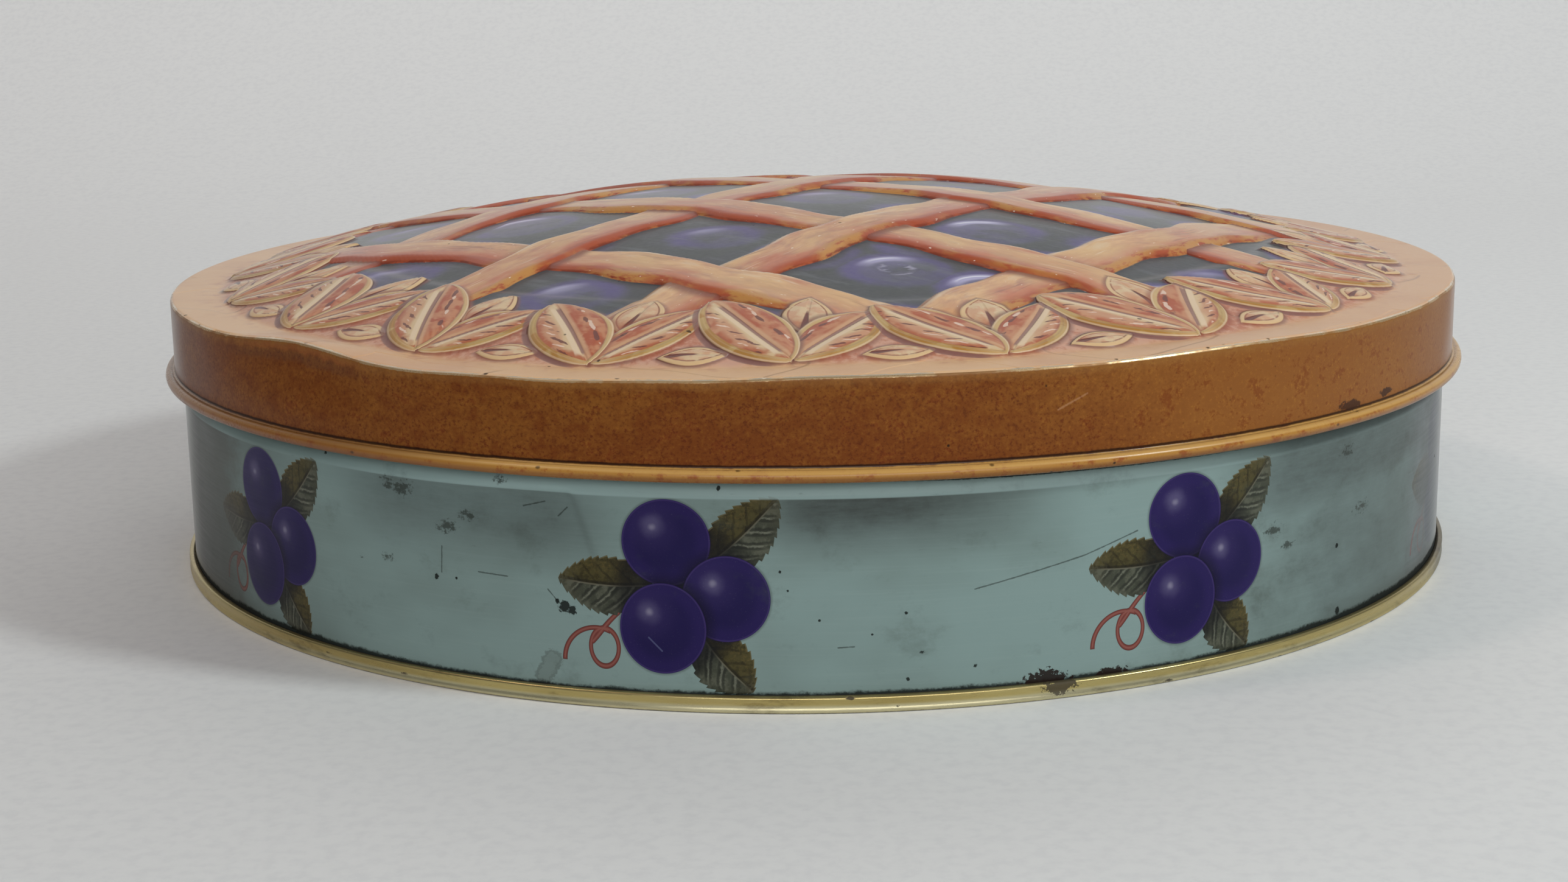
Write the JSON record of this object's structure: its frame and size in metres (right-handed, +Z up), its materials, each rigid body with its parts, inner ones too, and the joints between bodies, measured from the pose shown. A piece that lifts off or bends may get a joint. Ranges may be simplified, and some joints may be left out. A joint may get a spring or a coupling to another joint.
{
  "type": "round slip-lid tin",
  "caption": "Shallow round tinplate tin with a loose slip lid pressed as a domed lattice-top pie with a leaf garland.",
  "frame": {"origin": "centre of the circle the tin stands on, in the plane of the foot", "axes": "+Z up along the tin's axis, -Y towards the viewer in the picture, side seam at +Y"},
  "size_m": [0.2434, 0.2434, 0.0665],
  "materials": {
    "printed_wall": "satin grey-green print on tinplate, worn and scuffed",
    "gold_lacquer": "gold lacquer on tinplate, satin",
    "printed_lid": "satin print of a baked pie crust on tinplate"
  },
  "bodies": {
    "tin": {"body_wall": "printed_wall", "base_end": "gold_lacquer"},
    "lid": {"lid": "printed_lid"}
  },
  "joints": [
    {"name": "lid_lift", "type": "slide", "parent": "tin", "child": "lid", "axis": [0, 0, 1], "range_m": [0, 0.1]}
  ]
}
